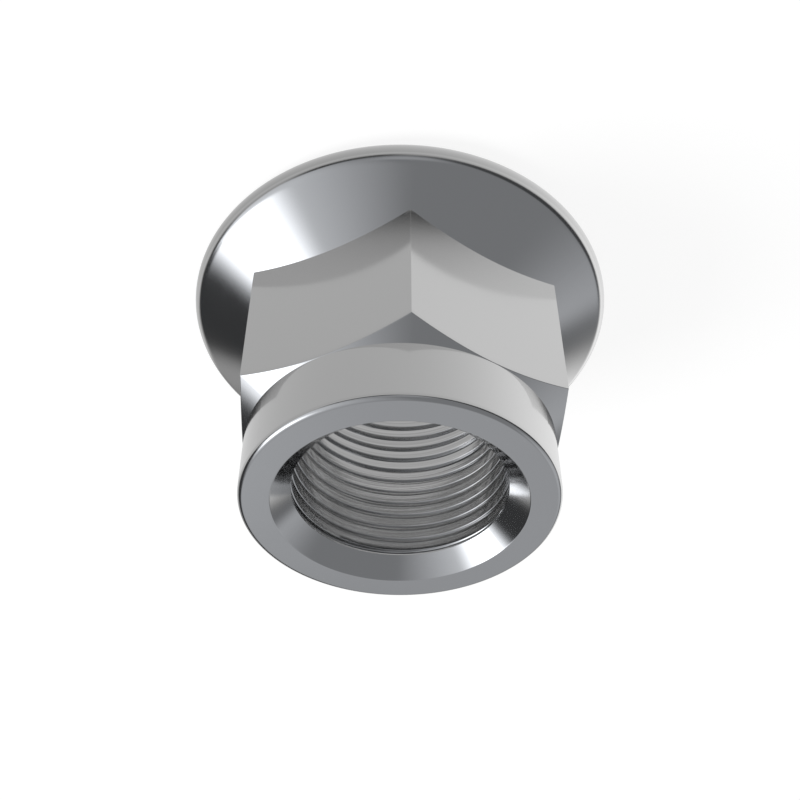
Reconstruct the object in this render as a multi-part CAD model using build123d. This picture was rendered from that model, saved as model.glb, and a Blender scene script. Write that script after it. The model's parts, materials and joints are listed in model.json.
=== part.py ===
from build123d import *
import os
from math import cos, radians, sin, tan

# Flanged hexagon lock nut, turned and milled from one bar, with a round collar above the hexagon.
# The origin is the centre of the bearing face. +Z runs along the thread, towards the collar.
# A corner of the hexagon points along +X. All lengths are in millimetres and all angles in degrees.

# Hexagon: the size of the spanner that fits it
across_flats = 30.0
side_count = 6

# Height of the whole nut, and of the shoulder where the hexagon ends and the collar begins
nut_height = 27.0
shoulder_height = 20.65

# Flange: a cone that falls outwards from the hexagon into a fully rounded rim
flange_diameter = 43.5
rim_radius = 1.6
flange_cone_angle = 30.0

# Chamfer turned on the upper corners of the hexagon, measured from the plane of the shoulder
corner_chamfer_angle = 30.0

# Round collar, a little narrower than the flats, with a rounded end edge
collar_diameter = 29.9
collar_edge_radius = 0.5

# M22 x 1.5 internal thread with 60 degree flanks. The bore is left plain at its minor diameter,
# where five eighths of the sharp triangle's height are cut.
thread_diameter = 22.0
thread_pitch = 1.5
thread_angle = 60.0
cut_share = 5 / 8

# Countersinks at the two ends of the bore, with their angles measured from the axis
mouth_diameter = 24.0
mouth_angle = 45.0
entry_diameter = 23.0
entry_angle = 45.0

# How far a cutting or trimming tool runs past the metal
tool_overrun = 1.0

triangle_height = thread_pitch / 2 / tan(radians(thread_angle / 2))
bore_radius = thread_diameter / 2 - cut_share * triangle_height
collar_radius = collar_diameter / 2
corner_radius = across_flats / 2 / cos(radians(180 / side_count))


def turned_blank():
    # The outside that the lathe makes: bearing face, rim, cone, and the collar's wall and end.
    # The rim is an arc that touches the bearing face below and the cone above.
    rim_x = flange_diameter / 2 - rim_radius
    cone_x = rim_x + rim_radius * sin(radians(flange_cone_angle))
    cone_z = rim_radius + rim_radius * cos(radians(flange_cone_angle))
    root_z = cone_z + (cone_x - collar_radius) * tan(radians(flange_cone_angle))
    edge_x = collar_radius - collar_edge_radius
    edge_z = nut_height - collar_edge_radius
    with BuildPart() as blank:
        with BuildSketch(Plane.XZ):
            with BuildLine():
                Line((0, 0), (rim_x, 0))
                CenterArc((rim_x, rim_radius), rim_radius, start_angle=-90, arc_size=180 - flange_cone_angle)
                Polyline((cone_x, cone_z), (collar_radius, root_z), (collar_radius, edge_z))
                CenterArc((edge_x, edge_z), collar_edge_radius, start_angle=0, arc_size=90)
                Polyline((edge_x, nut_height), (0, nut_height), (0, 0))
            make_face()
        revolve(axis=Axis.Z)
    return blank.part


def hexagon():
    # The prism stands on the bearing plane, and a turned cone trims its upper corners.
    # The cone starts at the collar's wall, so the flats end in arcs below the shoulder.
    trim_x = corner_radius + tool_overrun
    trim_z = shoulder_height - (trim_x - collar_radius) * tan(radians(corner_chamfer_angle))
    with BuildPart() as prism:
        with BuildSketch():
            RegularPolygon(across_flats / 2, side_count, major_radius=False)
        extrude(amount=shoulder_height)
        with BuildSketch(Plane.XZ):
            with BuildLine():
                Polyline(
                    (0, 0),
                    (trim_x, 0),
                    (trim_x, trim_z),
                    (collar_radius, shoulder_height),
                    (0, shoulder_height),
                    close=True,
                )
            make_face()
        revolve(axis=Axis.Z, mode=Mode.INTERSECT)
    return prism.part


def bore():
    # The threaded hole with its two countersinks, as one tool that runs past both faces
    mouth_spread = tan(radians(mouth_angle))
    entry_spread = tan(radians(entry_angle))
    mouth_depth = (mouth_diameter / 2 - bore_radius) / mouth_spread
    entry_depth = (entry_diameter / 2 - bore_radius) / entry_spread
    with BuildPart() as tool:
        with BuildSketch(Plane.XZ):
            with BuildLine():
                Polyline(
                    (0, -tool_overrun),
                    (entry_diameter / 2 + tool_overrun * entry_spread, -tool_overrun),
                    (bore_radius, entry_depth),
                    (bore_radius, nut_height - mouth_depth),
                    (mouth_diameter / 2 + tool_overrun * mouth_spread, nut_height + tool_overrun),
                    (0, nut_height + tool_overrun),
                    close=True,
                )
            make_face()
        revolve(axis=Axis.Z)
    print("bore radius", round(bore_radius, 4))
    print("bore wall from", round(entry_depth, 3), "to", round(nut_height - mouth_depth, 3))
    return tool.part


lock_nut = turned_blank() + hexagon() - bore()
lock_nut.label = "lock_nut"

os.makedirs("parts", exist_ok=True)
export_step(lock_nut, "parts/lock_nut.step")
print("solids", len(lock_nut.solids()), "volume", round(lock_nut.volume, 1), "valid", lock_nut.is_valid)
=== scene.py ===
import bmesh
import bpy
import json
import numpy as np
from math import atan2, cos, pi, radians, sin, tan
from mathutils import Matrix, Vector


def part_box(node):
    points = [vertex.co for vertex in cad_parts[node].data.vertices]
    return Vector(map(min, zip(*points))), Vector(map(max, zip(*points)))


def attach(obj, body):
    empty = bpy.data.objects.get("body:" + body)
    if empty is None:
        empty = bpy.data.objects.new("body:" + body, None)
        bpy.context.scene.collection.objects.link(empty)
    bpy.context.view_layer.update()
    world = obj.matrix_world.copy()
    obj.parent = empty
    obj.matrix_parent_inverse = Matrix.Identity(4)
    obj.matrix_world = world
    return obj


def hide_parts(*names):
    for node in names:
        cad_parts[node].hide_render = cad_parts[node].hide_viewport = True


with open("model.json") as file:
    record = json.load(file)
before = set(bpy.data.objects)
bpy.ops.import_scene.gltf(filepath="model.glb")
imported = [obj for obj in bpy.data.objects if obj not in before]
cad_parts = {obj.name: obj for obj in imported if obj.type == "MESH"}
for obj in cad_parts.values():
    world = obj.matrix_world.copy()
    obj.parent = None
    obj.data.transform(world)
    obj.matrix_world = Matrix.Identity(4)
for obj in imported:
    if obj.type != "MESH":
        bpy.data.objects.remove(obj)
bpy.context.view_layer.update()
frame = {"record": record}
mm = 0.001

# what the frame gives: the nut's height, the flange and the bore
lowCorner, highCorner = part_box("lock_nut")
nutHeight = highCorner.z / mm
flangeRadius = min(highCorner.x - lowCorner.x, highCorner.y - lowCorner.y) / 2 / mm
threadMount = next(mount for mount in frame["record"]["mounts"] if mount["name"] == "thread")
boreRadius = threadMount["dims"]["r_mm"]
print("frame loaded: height", round(nutHeight, 2), "bore radius", boreRadius)
print("flange radius", round(flangeRadius, 2))


def hexToLinear(code):
    # sRGB hex colour to the linear values that Blender's sockets take
    srgb = np.array([int(code[i:i + 2], 16) for i in (1, 3, 5)]) / 255
    linear = np.where(srgb <= 0.04045, srgb / 12.92, ((srgb + 0.055) / 1.055) ** 2.4)
    return (*linear.tolist(), 1.0)


def addNode(tree, kind, links=None, **settings):
    # one node with its settings; links names inputs and gives each a socket to join or a plain
    # value. A Mix node takes its share at 0, plain values at 2 and 3 and colours at 6 and 7, and
    # gives a colour at 2.
    node = tree.nodes.new(kind)
    for name, value in settings.items():
        setattr(node, name, value)
    for name, value in (links or {}).items():
        if isinstance(value, bpy.types.NodeSocket):
            tree.links.new(value, node.inputs[name])
        else:
            node.inputs[name].default_value = value
    return node


def emptyMaterial(name):
    # a new material that has no nodes yet, and its tree
    material = bpy.data.materials.new(name)
    material.use_nodes = True
    material.node_tree.nodes.clear()
    return material, material.node_tree


def onlyMirrored(piece):
    # the metal mirrors this piece, and nothing else sees it or is lit or shaded by it
    piece.visible_camera = False
    piece.visible_diffuse = False
    piece.visible_shadow = False


# The nut's body: millimetres and degrees. The edges that a deburring tool touches are broken by
# edgeBreak, of which the one above the flats takes at most edgeRoom of the chamfer's width, and
# cornerBreak rounds the six upright corners. cornerPlaces are columns on that round, as shares of
# half of it, narrowRow is a share of a stretch, and points counts the rows along each stretch.
body = {
    "acrossFlats": 30.0,
    "shoulderHeight": 20.65,
    "rimRadius": 1.6,
    "flangeConeAngle": 30.0,
    "cornerChamferAngle": 30.0,
    "collarDiameter": 29.9,
    "collarEdgeRadius": 0.5,
    "mouthDiameter": 24.0,
    "mouthAngle": 45.0,
    "entryDiameter": 23.0,
    "entryAngle": 45.0,
    "edgeBreak": 0.1,
    "edgeRoom": 0.8,
    "cornerBreak": 0.02,
    "cornerPlaces": (-1, -0.5, 0.5, 1),
    "evenColumns": 192,
    "narrowRow": 0.03,
    "points": {
        "bearingFace": 4, "rim": 31, "cone": 8, "flat": 8, "flatEdge": 5, "chamfer": 4,
        "collar": 6, "collarEdge": 11, "endFace": 4, "lip": 4, "mouth": 8, "entry": 4,
    },
}

# The internal thread: right-hand, one pitch up for each turn. landShare is the part of a pitch that
# stays flat, a higher rootPower gives steeper flanks and a flatter root, cornerShare is how much of
# a pitch a land's edge is rounded over, grooveCentre is where a groove crosses the side at -X, the
# one that the picture shows, and fadeLength is the incomplete turn at either end of the bore. The
# collar is squeezed to grip the bolt, so its thread is shallower: the depth falls to lockShare of
# the full one between the two lockHeights. rootPlaces are rows from the groove's middle, as shares
# of its half width, and edgePlaces are rows on a land's edge, as shares of half its rounding.
thread = {
    "pitch": 1.5,
    "landShare": 0.60,
    "grooveDepth": 0.81,
    "rootPower": 2.5,
    "cornerShare": 0.04,
    "grooveCentre": 23.36,
    "fadeLength": 0.9,
    "lockShare": 0.70,
    "lockHeights": (11.0, 18.0),
    "rootPlaces": (0.25, 0.45, 0.62, 0.77, 0.9),
    "edgePlaces": (-1, -0.35, 0.35, 1),
}


def cornerTouch():
    # the angle from a corner to where its rounded edge meets the flat, and the distance of the
    # round's centre from the axis, which is where the flats would cross if moved in by its radius
    half = pi / 6
    centre = (body["acrossFlats"] / 2 - body["cornerBreak"]) / cos(half)
    across = body["cornerBreak"] * sin(half)
    return atan2(across, centre + body["cornerBreak"] * cos(half)), centre


def columnAngles():
    # even steps round the axis, with more beside each corner on its rounded edge
    touch = cornerTouch()[0]
    even = np.arange(body["evenColumns"]) * 2 * pi / body["evenColumns"]
    beside = np.arange(6)[:, None] * pi / 3 + touch * np.array(body["cornerPlaces"])
    return np.append(np.unique(np.concatenate([even, beside.ravel() % (2 * pi)])), 2 * pi)


def hexRadius(angle):
    # distance from the axis to the side: half the flats over the cosine of the angle from the
    # flat's middle, and near a corner the far point of the small circle that rounds it
    half = pi / 6
    touch, centre = cornerTouch()
    fromCorner = (angle + half) % (2 * half) - half
    flat = body["acrossFlats"] / 2 / np.cos(half - abs(fromCorner))
    under = np.maximum(body["cornerBreak"] ** 2 - (centre * np.sin(fromCorner)) ** 2, 0)
    return np.where(abs(fromCorner) < touch, centre * np.cos(fromCorner) + np.sqrt(under), flat)


def straight(start, end, count):
    # points along the line from start to end, which may differ from column to column; a narrow row
    # at either end keeps the shading of the wide ones true
    evenly = np.linspace(0, 1, count)
    share = np.sort(np.append(evenly, [body["narrowRow"], 1 - body["narrowRow"]]))[:, None]
    return start[0] + (end[0] - start[0]) * share, start[1] + (end[1] - start[1]) * share


def arc(centre, radius, first, last, count):
    # points on a circle in the plane through the axis, from one angle above the level to another
    angle = np.radians(np.linspace(first, last, count))[:, None]
    return centre[0] + radius * np.cos(angle), centre[1] + radius * np.sin(angle)


def outsideRows(angle):
    # the section of the nut at each angle, from the entry's edge over the outside to the bore:
    # level bearing face, round rim, cone up to the flat, the flat, the chamfer up to the shoulder,
    # collar wall, rounded end edge, end face and countersink. The cone and the chamfer fall by
    # their slope for each millimetre outwards. A rounded edge starts its radius times the tangent
    # of half the turn before the two lines meet, and is radius * (1 - cos turn) wide.
    side = hexRadius(angle)
    coneSlope = tan(radians(body["flangeConeAngle"]))
    chamferSlope = tan(radians(body["cornerChamferAngle"]))
    collar = body["collarDiameter"] / 2
    rim = body["rimRadius"]
    rimX = flangeRadius - rim
    coneX = rimX + rim * sin(radians(body["flangeConeAngle"]))
    coneZ = rim + rim * cos(radians(body["flangeConeAngle"]))
    flatFoot = coneZ + (coneX - side) * coneSlope
    flatTop = body["shoulderHeight"] - (side - collar) * chamferSlope

    turn = 90 - body["cornerChamferAngle"]  # how far the surface turns from flat to chamfer
    room = body["edgeRoom"] * (side - collar) / (1 - cos(radians(turn)))
    edge = np.minimum(body["edgeBreak"], room)  # the rounded edge narrows where the chamfer runs out
    edgeFoot = flatTop - edge * tan(radians(turn / 2))
    chamferX = side - edge + edge * cos(radians(turn))
    chamferZ = edgeFoot + edge * sin(radians(turn))

    endEdge = body["collarEdgeRadius"]
    mouth = body["mouthDiameter"] / 2
    mouthTurn = 90 - body["mouthAngle"]
    lip = body["edgeBreak"]
    lipX = mouth + lip * tan(radians(mouthTurn / 2))
    mouthDepth = (mouth - boreRadius) / tan(radians(body["mouthAngle"]))
    lipEndX = lipX - lip * sin(radians(mouthTurn))
    lipEndZ = nutHeight - lip + lip * cos(radians(mouthTurn))

    points = body["points"]
    shoulder = body["shoulderHeight"]
    wallEnd = nutHeight - endEdge
    return [
        straight((body["entryDiameter"] / 2, 0), (rimX, 0), points["bearingFace"]),
        arc((rimX, rim), rim, -90, 90 - body["flangeConeAngle"], points["rim"]),
        straight((coneX, coneZ), (side, flatFoot), points["cone"]),
        straight((side, flatFoot), (side, edgeFoot), points["flat"]),
        arc((side - edge, edgeFoot), edge, 0, turn, points["flatEdge"]),
        straight((chamferX, chamferZ), (collar, shoulder), points["chamfer"]),
        straight((collar, shoulder), (collar, wallEnd), points["collar"]),
        arc((collar - endEdge, wallEnd), endEdge, 0, 90, points["collarEdge"]),
        straight((collar - endEdge, nutHeight), (lipX, nutHeight), points["endFace"]),
        arc((lipX, nutHeight - lip), lip, 90, 90 + mouthTurn, points["lip"]),
        straight((lipEndX, lipEndZ), (boreRadius, nutHeight - mouthDepth), points["mouth"]),
    ]


def smoothStep(share):
    # 3 s^2 - 2 s^3 of the share held between 0 and 1
    held = np.clip(share, 0, 1)
    return held ** 2 * (3 - 2 * held)


def grooveShape(share):
    # the depth of a groove as a share of the full one, at each share of a pitch from its centre:
    # 1 - (share / half width) ^ rootPower, averaged over cornerShare so that the edges are round
    half = (1 - thread["landShare"]) / 2
    near = thread["cornerShare"] / 2
    power = thread["rootPower"]

    def area(x):
        # the area under the curve from the centre to x, which turns its sign with x
        into = np.clip(x, -half, half)
        return into * (1 - (abs(into) / half) ** power / (power + 1))

    return (area(abs(share) + near) - area(abs(share) - near)) / (2 * near)


def threadRows(angle, top, bottom):
    # every row climbs with the helix, z = its place in the pitch + pitch * angle / full turn, and
    # is held between the bore's two ends, where the groove has faded to nothing. The depth is the
    # groove's shape times the fade at the ends times the collar's squeeze.
    spareTurns = 2  # the rows start this far above, so that they reach both ends at every angle
    pitch = thread["pitch"]
    half = (1 - thread["landShare"]) / 2
    near = thread["cornerShare"] / 2
    within = half * np.array(thread["rootPlaces"])
    beside = np.append(half + near * np.array(thread["edgePlaces"]), 0.5)
    places = np.unique(np.concatenate([-beside[:-1], -within, [0], within, beside]))[::-1]
    turns = np.arange(int((top - bottom) / pitch) + spareTurns + 1)[:, None]
    first = thread["grooveCentre"] - pitch / 2 + spareTurns * pitch
    share = np.broadcast_to(places, (len(turns), len(places))).ravel()
    centre = np.broadcast_to(first - pitch * turns, (len(turns), len(places))).ravel()
    free = (centre + pitch * share)[:, None] + pitch * angle / (2 * pi)
    z = np.clip(free, bottom, top)
    ends = smoothStep(np.minimum(top - z, z - bottom) / thread["fadeLength"])
    low, high = thread["lockHeights"]
    lock = 1 - (1 - thread["lockShare"]) * smoothStep((z - low) / (high - low))
    return boreRadius + thread["grooveDepth"] * grooveShape(share)[:, None] * ends * lock, z


# Points nearer than mergeMm become one, and an edge that bends more than sharpAngle stays crisp
meshing = {"mergeMm": 0.002, "sharpAngle": 35.0}


def closedMesh(name, rows, angle):
    # every point of the grid is (r cos angle, r sin angle, z); the grid closes on itself both
    # round the axis and along the section, and its faces point outwards
    spread = [np.broadcast_arrays(r, z, angle[None, :]) for r, z in rows]
    r = np.vstack([part[0] for part in spread])
    z = np.vstack([part[1] for part in spread])
    points = np.stack([r * np.cos(angle), r * np.sin(angle), z], axis=-1).reshape(-1, 3) * mm
    index = np.arange(r.size).reshape(r.shape)
    quads = np.stack([index[:-1, :-1], index[:-1, 1:], index[1:, 1:], index[1:, :-1]], axis=-1)
    mesh = bpy.data.meshes.new(name)
    mesh.from_pydata(points.tolist(), [], quads.reshape(-1, 4).tolist())
    work = bmesh.new()
    work.from_mesh(mesh)
    bmesh.ops.remove_doubles(work, verts=work.verts, dist=meshing["mergeMm"] * mm)
    work.to_mesh(mesh)
    openEdges = sum(not edge.is_manifold for edge in work.edges)
    work.free()
    mesh.shade_smooth()
    mesh.set_sharp_from_angle(angle=radians(meshing["sharpAngle"]))
    piece = bpy.data.objects.new(name, mesh)
    bpy.context.scene.collection.objects.link(piece)
    triangles = sum(len(face.vertices) - 2 for face in mesh.polygons)
    print(name, "triangles", triangles, "open edges", openEdges)
    return piece


def makeNut():
    # one closed section at every angle: the outside, then down the thread, then the entry. The
    # bore's wall runs from bottom to top, where it meets the two countersinks.
    angle = columnAngles()
    outside = outsideRows(angle)
    top = nutHeight - (body["mouthDiameter"] / 2 - boreRadius) / tan(radians(body["mouthAngle"]))
    entry = body["entryDiameter"] / 2
    bottom = (entry - boreRadius) / tan(radians(body["entryAngle"]))
    inside = threadRows(angle, top, bottom)
    countersink = straight((boreRadius, bottom), (entry, 0), body["points"]["entry"])
    piece = closedMesh("threadedNut", outside + [inside, countersink], angle)
    weighted = piece.modifiers.new("flatFacesStayFlat", "WEIGHTED_NORMAL")
    weighted.keep_sharp = True
    return piece


# Carbon steel, turned and milled, then polished: a grey metal with slightly blurred reflections,
# and fine feed marks that follow the lathe round the axis, a quarter of a millimetre apart as its
# feed is. The tap leaves deeper marks along the thread, so that its lands look streaked and mirror
# the far side of the bore less sharply, and painted shade darkens the marks' hollows there. A tap's
# real marks are some hundredths of a millimetre apart, too fine to show, so they are drawn at the
# feed's spacing and deeper than they are.
# The ranges are the part of each noise, which lies round 0.5, that is used from end to end.
steel = {
    "colour": "#E7E7E7",
    # the darker colour that the thread's marks take in their hollows is painted shade
    "hollowShadeColour": "#D4D4D4",
    "roughness": 0.12,
    "roughnessSpread": 0.02,
    "patchMm": 6.5,
    "patchDetail": 3.0,
    "patchRange": (0.3, 0.7),
    "feedMarkMm": 0.25,
    "feedMarkDetail": 2.0,
    "feedMarkHeightMm": 0.0006,
    "tapMarkHeightMm": 0.016,
    "tapHollowRange": (0.62, 0.38),
    "tappedRadiusMm": 11.1,
    "tappedTopMm": 25.0,
}


def tappedPart(tree, reach, height):
    # 1 where the tap has cut, which is inside its root and under the mouth, and 0 elsewhere
    inside = addNode(tree, "ShaderNodeMath", {
        0: reach,
        1: steel["tappedRadiusMm"] * mm,
    }, operation="LESS_THAN")
    under = addNode(tree, "ShaderNodeMath", {
        0: height,
        1: steel["tappedTopMm"] * mm,
    }, operation="LESS_THAN")
    return addNode(tree, "ShaderNodeMath", {
        0: inside.outputs[0],
        1: under.outputs[0],
    }, operation="MULTIPLY").outputs[0]


def makeSteel():
    material, tree = emptyMaterial("machinedSteel")
    place = addNode(tree, "ShaderNodeTexCoord").outputs["Object"]
    axes = addNode(tree, "ShaderNodeSeparateXYZ", {0: place})
    level = addNode(tree, "ShaderNodeCombineXYZ", {0: axes.outputs[0], 1: axes.outputs[1]})
    reach = addNode(tree, "ShaderNodeVectorMath", {0: level.outputs[0]}, operation="LENGTH")
    reach = reach.outputs["Value"]
    # the lathe's marks change with the distance from the axis and with the height, not round it
    across = addNode(tree, "ShaderNodeCombineXYZ", {0: reach, 1: axes.outputs[2]})
    marks = addNode(tree, "ShaderNodeTexNoise", {
        "Vector": across.outputs[0],
        "Scale": 1 / (steel["feedMarkMm"] * mm),
        "Detail": steel["feedMarkDetail"],
    })
    # only the thread has the tap's deeper marks
    tapped = tappedPart(tree, reach, axes.outputs[2])
    depth = addNode(tree, "ShaderNodeMapRange", {
        "Value": tapped,
        "To Min": steel["feedMarkHeightMm"] * mm,
        "To Max": steel["tapMarkHeightMm"] * mm,
    })
    bump = addNode(tree, "ShaderNodeBump", {
        "Height": marks.outputs["Fac"],
        "Strength": 1.0,
        "Distance": depth.outputs[0],
    })
    # painted shade: the marks' hollows there are darker too, so that fine streaks run along the
    # lands
    hollow = addNode(tree, "ShaderNodeMapRange", {
        "Value": marks.outputs["Fac"],
        "From Min": steel["tapHollowRange"][0],
        "From Max": steel["tapHollowRange"][1],
    })
    hollowShade = addNode(tree, "ShaderNodeMath", {
        0: hollow.outputs[0],
        1: tapped,
    }, operation="MULTIPLY")
    colour = addNode(tree, "ShaderNodeMix", {
        0: hollowShade.outputs[0],
        6: hexToLinear(steel["colour"]),
        7: hexToLinear(steel["hollowShadeColour"]),
    }, data_type="RGBA")
    # hands and the barrel leave patches a little duller or brighter than the rest
    cloud = addNode(tree, "ShaderNodeTexNoise", {
        "Vector": place,
        "Scale": 1 / (steel["patchMm"] * mm),
        "Detail": steel["patchDetail"],
    })
    rough = addNode(tree, "ShaderNodeMapRange", {
        "Value": cloud.outputs["Fac"],
        "From Min": steel["patchRange"][0],
        "From Max": steel["patchRange"][1],
        "To Min": steel["roughness"] - steel["roughnessSpread"],
        "To Max": steel["roughness"] + steel["roughnessSpread"],
    })
    shader = addNode(tree, "ShaderNodeBsdfPrincipled", {
        "Base Color": colour.outputs[2],
        "Metallic": 1.0,
        "Roughness": rough.outputs[0],
        "Normal": bump.outputs[0],
    })
    addNode(tree, "ShaderNodeOutputMaterial", {"Surface": shader.outputs[0]})
    return material


nut = makeNut()
nut.data.materials.append(makeSteel())
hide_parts("lock_nut")
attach(nut, "root")
print("nut made")

# The tent that the metal mirrors: a dome round the nut, with a bright low half, a belt just below
# the level, a glow on one side round a soft panel, dark strips above the horizon and dull panels
# low behind. Its radius is in metres, directions are degrees round from +X and above the level,
# and brightness 1 is plain white.
tent = {
    "radius": 2.0,
    "columns": 64,
    "rows": 32,
    "lowColour": "#FFFFFF",
    "lowDim": 0.35,
    "lowBright": 0.87,
    "lowPower": 1.75,
    "lowBrightSide": -140.0,
    "lowDown": 0.12,
    "belt": 0.09,
    "beltAbove": -9.0,
    "beltReach": 12.0,
    "horizon": 10.0,
    "horizonSoft": 4.0,
    "highColour": "#F7FAFF",
    "highDim": 0.205,
    "glow": 0.71,
    "glowRound": 95.0,
    "glowAbove": 22.0,
    "glowReach": 74.0,
}

# Each panel is a rectangle that faces the nut: its middle's direction, how far it is turned, its
# brightness, and its half sizes and soft edges, across and upright, as shares of its distance.
# They are laid over the dome and over one another in this order.
tentPanels = {
    "darkRight": {
        "round": -66, "above": 17, "turn": 1, "light": 0.05,
        "half": (1.5, 0.20), "soft": (1.2, 0.08),
    },
    "frontGlow": {
        "round": 1, "above": 28, "turn": 0, "light": 0.33,
        "half": (0.25, 0.16), "soft": (0.2, 0.11),
    },
    "darkLeft": {
        "round": 118, "above": 11, "turn": 6, "light": 0.05,
        "half": (0.58, 0.12), "soft": (0.35, 0.05),
    },
    "duskLeft": {
        "round": 142, "above": 0, "turn": 0, "light": 0.04,
        "half": (0.30, 0.0), "soft": (0.15, 0.45),
    },
    "darkFront": {
        "round": 27, "above": 8.5, "turn": 3, "light": 0.06,
        "half": (0.44, 0.11), "soft": (0.22, 0.05),
    },
    "rightGlow": {
        "round": -137, "above": 30, "turn": 20, "light": 0.44,
        "half": (0.48, 0.33), "soft": (0.44, 0.11),
    },
    "darkBack": {
        "round": -140, "above": 12, "turn": 9, "light": 0.16,
        "half": (0.28, 0.14), "soft": (0.11, 0.14),
    },
    "backPanel": {
        "round": 180, "above": 43, "turn": 0, "light": 0.36,
        "half": (0.34, 0.29), "soft": (0.21, 0.2),
    },
    "backGlow": {
        "round": 170, "above": 40, "turn": 0, "light": 0.42,
        "half": (0.10, 0.09), "soft": (0.08, 0.08),
    },
    "dullBehind": {
        "round": -170, "above": 12, "turn": 0, "light": 0.30,
        "half": (0.37, 0.22), "soft": (0.08, 0.06),
    },
    "darkBehind": {
        "round": 162, "above": 18, "turn": 0, "light": 0.03,
        "half": (0.25, 0.20), "soft": (0.06, 0.08),
    },
    "dullLow": {
        "round": 180, "above": -14, "turn": 0, "light": 0.40,
        "half": (0.53, 0.26), "soft": (0.05, 0.08),
    },
    "duskLow": {
        "round": 157, "above": -8, "turn": 0, "light": 0.22,
        "half": (0.16, 0.12), "soft": (0.10, 0.10),
    },
    "softPanel": {
        "round": 98, "above": 39, "turn": -40, "light": 2.3,
        "half": (0.26, 0.23), "soft": (0.20, 0.21),
    },
    "darkWedge": {
        "round": 131, "above": 20, "turn": 14, "light": 0.04,
        "half": (0.47, 0.285), "soft": (0.12, 0.15),
    },
}


def direction(roundAngle, aboveAngle):
    # the unit vector with a round and e above: (cos e cos a, cos e sin a, sin e)
    a = radians(roundAngle)
    e = radians(aboveAngle)
    return Vector((cos(e) * cos(a), cos(e) * sin(a), sin(e)))


def tentLowHalf(tree, toward, rise, above):
    # brighter towards one side, as a power of how near that side is, and a little towards the
    # ground
    side = direction(tent["lowBrightSide"], 0)
    near = addNode(tree, "ShaderNodeVectorMath", {0: toward, 1: side}, operation="DOT_PRODUCT")
    share = addNode(tree, "ShaderNodeMapRange", {
        "Value": near.outputs["Value"],
        "From Min": -1.0,
        "From Max": 1.0,
    })
    rising = addNode(tree, "ShaderNodeMath", {
        0: share.outputs[0],
        1: tent["lowPower"],
    }, operation="POWER")
    low = addNode(tree, "ShaderNodeMath", {
        0: rising.outputs[0],
        1: tent["lowBright"] - tent["lowDim"],
        2: tent["lowDim"],
    }, operation="MULTIPLY_ADD")
    low = addNode(tree, "ShaderNodeMath", {
        0: rise,
        1: -tent["lowDown"],
        2: low.outputs[0],
    }, operation="MULTIPLY_ADD")
    # a belt just below the level is a little brighter: the chamfer and the collar's foot mirror it
    away = addNode(tree, "ShaderNodeMath", {
        0: above,
        1: -radians(tent["beltAbove"]),
    }, operation="ADD")
    away = addNode(tree, "ShaderNodeMath", {0: away.outputs[0]}, operation="ABSOLUTE")
    belt = addNode(tree, "ShaderNodeMapRange", {
        "Value": away.outputs[0],
        "From Max": radians(tent["beltReach"]),
        "To Min": tent["belt"],
        "To Max": 0.0,
    }, interpolation_type="SMOOTHSTEP")
    return addNode(tree, "ShaderNodeMath", {
        0: low.outputs[0],
        1: belt.outputs[0],
    }, operation="ADD").outputs[0]


def tentHighHalf(tree, toward):
    # dimmer with the angle from the glow's middle
    middle = direction(tent["glowRound"], tent["glowAbove"])
    facing = addNode(tree, "ShaderNodeVectorMath", {0: toward, 1: middle}, operation="DOT_PRODUCT")
    apart = addNode(tree, "ShaderNodeMath", {0: facing.outputs["Value"]}, operation="ARCCOSINE")
    return addNode(tree, "ShaderNodeMapRange", {
        "Value": apart.outputs[0],
        "From Max": radians(tent["glowReach"]),
        "To Min": tent["highDim"] + tent["glow"],
        "To Max": tent["highDim"],
    }).outputs[0]


def panelCover(tree, toward, panel):
    # a direction's offset in the panel's plane is how far it goes aside over how far it goes
    # ahead, and the panel covers the dome where that offset is within its half sizes
    leastAhead = 0.001  # the least that counts as ahead, so that nothing divides by 0
    middle = direction(panel["round"], panel["above"])
    level = Vector((0, 0, 1)).cross(middle).normalized()
    upright = middle.cross(level)
    turn = radians(panel["turn"])
    across = cos(turn) * level + sin(turn) * upright
    along = cos(turn) * upright - sin(turn) * level
    facing = addNode(tree, "ShaderNodeVectorMath", {0: toward, 1: middle}, operation="DOT_PRODUCT")
    ahead = addNode(tree, "ShaderNodeMath", {
        0: facing.outputs["Value"],
        1: leastAhead,
    }, operation="MAXIMUM")
    cover = 1.0
    for way, half, soft in zip((across, along), panel["half"], panel["soft"]):
        aside = addNode(tree, "ShaderNodeVectorMath", {0: toward, 1: way}, operation="DOT_PRODUCT")
        offset = addNode(tree, "ShaderNodeMath", {
            0: aside.outputs["Value"],
            1: ahead.outputs[0],
        }, operation="DIVIDE")
        size = addNode(tree, "ShaderNodeMath", {0: offset.outputs[0]}, operation="ABSOLUTE")
        window = addNode(tree, "ShaderNodeMapRange", {
            "Value": size.outputs[0],
            "From Min": half - soft,
            "From Max": half + soft,
            "To Min": 1.0,
            "To Max": 0.0,
        }, interpolation_type="SMOOTHSTEP")
        cover = addNode(tree, "ShaderNodeMath", {
            0: window.outputs[0],
            1: cover,
        }, operation="MULTIPLY").outputs[0]
    return cover


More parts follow.
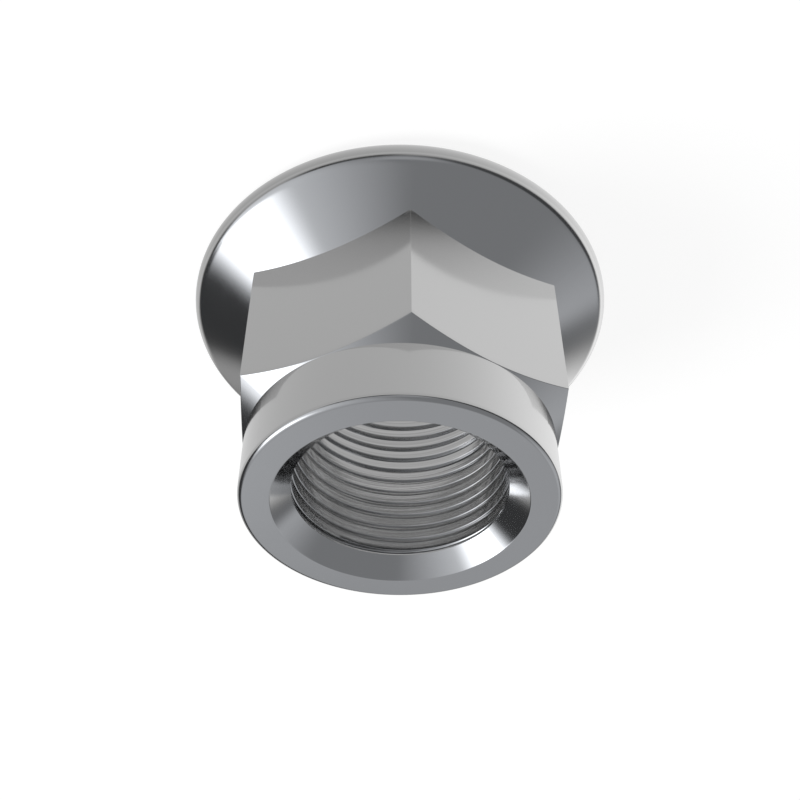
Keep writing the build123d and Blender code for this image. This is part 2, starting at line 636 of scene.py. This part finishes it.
def makeTentMaterial():
    material, tree = emptyMaterial("tentFabric")
    place = addNode(tree, "ShaderNodeTexCoord").outputs["Object"]
    toward = addNode(tree, "ShaderNodeVectorMath", {0: place}, operation="NORMALIZE").outputs[0]
    rise = addNode(tree, "ShaderNodeSeparateXYZ", {0: toward}).outputs[2]
    above = addNode(tree, "ShaderNodeMath", {0: rise}, operation="ARCSINE").outputs[0]
    sky = addNode(tree, "ShaderNodeMapRange", {
        "Value": above,
        "From Min": radians(tent["horizon"] - tent["horizonSoft"]),
        "From Max": radians(tent["horizon"] + tent["horizonSoft"]),
    }, interpolation_type="SMOOTHSTEP")
    light = addNode(tree, "ShaderNodeMix", {
        0: sky.outputs[0],
        2: tentLowHalf(tree, toward, rise, above),
        3: tentHighHalf(tree, toward),
    }).outputs[0]
    for panel in tentPanels.values():
        cover = panelCover(tree, toward, panel)
        light = addNode(tree, "ShaderNodeMix", {0: cover, 2: light, 3: panel["light"]}).outputs[0]
    # daylight from above is slightly blue beside the neutral low half
    tint = addNode(tree, "ShaderNodeMix", {
        0: sky.outputs[0],
        6: hexToLinear(tent["lowColour"]),
        7: hexToLinear(tent["highColour"]),
    }, data_type="RGBA")
    emission = addNode(tree, "ShaderNodeEmission", {"Color": tint.outputs[2], "Strength": light})
    addNode(tree, "ShaderNodeOutputMaterial", {"Surface": emission.outputs[0]})
    material.cycles.emission_sampling = "NONE"
    return material


def makeTent():
    # a ball of two parameters: (R cos u, R sin u) is its section at the angle u above the level
    around = np.linspace(0, 2 * pi, tent["columns"] + 1)
    upward = np.linspace(-pi / 2, pi / 2, tent["rows"] + 1)[:, None]
    radius = tent["radius"] / mm
    piece = closedMesh("tentDome", [(radius * np.cos(upward), radius * np.sin(upward))], around)
    piece.data.materials.append(makeTentMaterial())
    onlyMirrored(piece)


makeTent()

# Painted shade: a dim glowing disc stands in for the floor in the nut's own shade, which the thread
# mirrors through the open bore
shade = {"radiusMm": 16.0, "columns": 48, "dropMm": 0.01, "light": 0.48}


def makeShade():
    # a disc of two parameters, the angle a round and the distance r from the middle: each point
    # is (r cos a, r sin a, z) at one height
    around = np.linspace(0, 2 * pi, shade["columns"] + 1)[:, None]
    reach = np.array([0.0, shade["radiusMm"]]) * mm
    height = -shade["dropMm"] * mm
    spread = np.broadcast_arrays(reach * np.cos(around), reach * np.sin(around), height)
    points = np.stack(spread, axis=-1)
    index = np.arange(points[..., 0].size).reshape(points.shape[:2])
    quads = np.stack([index[:-1, 0], index[:-1, 1], index[1:, 1], index[1:, 0]], axis=-1)
    mesh = bpy.data.meshes.new("paintedShadeDisc")
    mesh.from_pydata(points.reshape(-1, 3).tolist(), [], quads.tolist())
    piece = bpy.data.objects.new("paintedShadeDisc", mesh)
    bpy.context.scene.collection.objects.link(piece)
    material, tree = emptyMaterial("paintedFloorShade")
    # the disc's dim glow is painted shade, a fixed light in place of the floor's real shading
    shine = addNode(tree, "ShaderNodeEmission", {"Strength": shade["light"]})
    addNode(tree, "ShaderNodeOutputMaterial", {"Surface": shine.outputs[0]})
    mesh.materials.append(material)
    onlyMirrored(piece)


makeShade()
print("tent made")

# A plain white floor, half its width in metres. lift is light that only the camera sees, which
# brings the floor to full white, and the floor's own shading under it is the nut's shadow.
floor = {"half": 3.0, "colour": "#A0A0A0", "lift": 0.80, "dropMm": 0.01}


def makeFloor():
    half = floor["half"]
    mesh = bpy.data.meshes.new("studioFloor")
    around = ((-1, -1), (1, -1), (1, 1), (-1, 1))
    height = -floor["dropMm"] * mm
    mesh.from_pydata([(half * x, half * y, height) for x, y in around], [], [(0, 1, 2, 3)])
    piece = bpy.data.objects.new("studioFloor", mesh)
    bpy.context.scene.collection.objects.link(piece)
    material, tree = emptyMaterial("whitePaper")
    rays = addNode(tree, "ShaderNodeLightPath")
    matt = addNode(tree, "ShaderNodeBsdfDiffuse", {"Color": hexToLinear(floor["colour"])})
    lift = addNode(tree, "ShaderNodeMath", {
        0: rays.outputs["Is Camera Ray"],
        1: floor["lift"],
    }, operation="MULTIPLY")
    shine = addNode(tree, "ShaderNodeEmission", {"Strength": lift.outputs[0]})
    both = addNode(tree, "ShaderNodeAddShader", {0: matt.outputs[0], 1: shine.outputs[0]})
    addNode(tree, "ShaderNodeOutputMaterial", {"Surface": both.outputs[0]})
    mesh.materials.append(material)
    piece.visible_glossy = False


makeFloor()

# The studio's air: fill is its light on the floor, and white is what a camera, metal or glass sees
sky = {"colour": "#FFFFFF", "fill": 0.44, "white": 1.0}


def makeSky():
    world = bpy.data.worlds.new("whiteStudio")
    bpy.context.scene.world = world
    world.use_nodes = True
    tree = world.node_tree
    tree.nodes.clear()
    rays = addNode(tree, "ShaderNodeLightPath")
    seen = addNode(tree, "ShaderNodeMath", {
        0: rays.outputs["Is Camera Ray"],
        1: rays.outputs["Is Glossy Ray"],
    }, operation="MAXIMUM")
    seen = addNode(tree, "ShaderNodeMath", {
        0: seen.outputs[0],
        1: rays.outputs["Is Transmission Ray"],
    }, operation="MAXIMUM")
    strength = addNode(tree, "ShaderNodeMapRange", {
        "Value": seen.outputs[0],
        "To Min": sky["fill"],
        "To Max": sky["white"],
    })
    colour = hexToLinear(sky["colour"])
    shine = addNode(tree, "ShaderNodeBackground", {"Color": colour, "Strength": strength.outputs[0]})
    addNode(tree, "ShaderNodeOutputWorld", {"Surface": shine.outputs[0]})


makeSky()

# One large soft lamp on the tent's bright side, in metres and watts. It is hidden from the metal,
# which sees the soft panel.
lamp = {"round": 103.0, "above": 45.0, "distance": 0.8, "size": 0.35, "power": 2.0}


def makeLamp():
    data = bpy.data.lights.new("softLamp", "AREA")
    data.energy = lamp["power"]
    data.size = lamp["size"]
    piece = bpy.data.objects.new("softLamp", data)
    toward = direction(lamp["round"], lamp["above"])
    piece.location = toward * lamp["distance"]
    piece.rotation_euler = toward.to_track_quat("Z", "Y").to_euler()
    piece.visible_glossy = False
    bpy.context.scene.collection.objects.link(piece)


makeLamp()
print("floor and light made")

# The camera looks down on the collar past a corner of the hexagon, and is held upside down, so
# that the collar's end hangs towards the bottom of the picture.
camera = {
    "round": 3.27,
    "above": 42.78,
    "roll": 180.0,
    "distanceMm": 111.34,
    "aimHeightMm": 13.5,
    "lensMm": 50.0,
    "sensorMm": 36.0,
    "clip": (0.005, 20.0),
}


def makeCamera():
    data = bpy.data.cameras.new("photoCamera")
    data.lens = camera["lensMm"]
    data.sensor_width = camera["sensorMm"]
    data.clip_start = camera["clip"][0]
    data.clip_end = camera["clip"][1]
    piece = bpy.data.objects.new("photoCamera", data)
    aim = Vector((0, 0, camera["aimHeightMm"] * mm))
    place = aim + direction(camera["round"], camera["above"]) * camera["distanceMm"] * mm
    turn = Matrix.Rotation(radians(90 + camera["round"]), 4, "Z")
    tilt = Matrix.Rotation(radians(90 - camera["above"]), 4, "X")
    roll = Matrix.Rotation(radians(camera["roll"]), 4, "Z")
    piece.matrix_world = Matrix.Translation(place) @ turn @ tilt @ roll
    bpy.context.scene.collection.objects.link(piece)
    bpy.context.scene.camera = piece


makeCamera()
bpy.context.scene.view_settings.view_transform = "Standard"
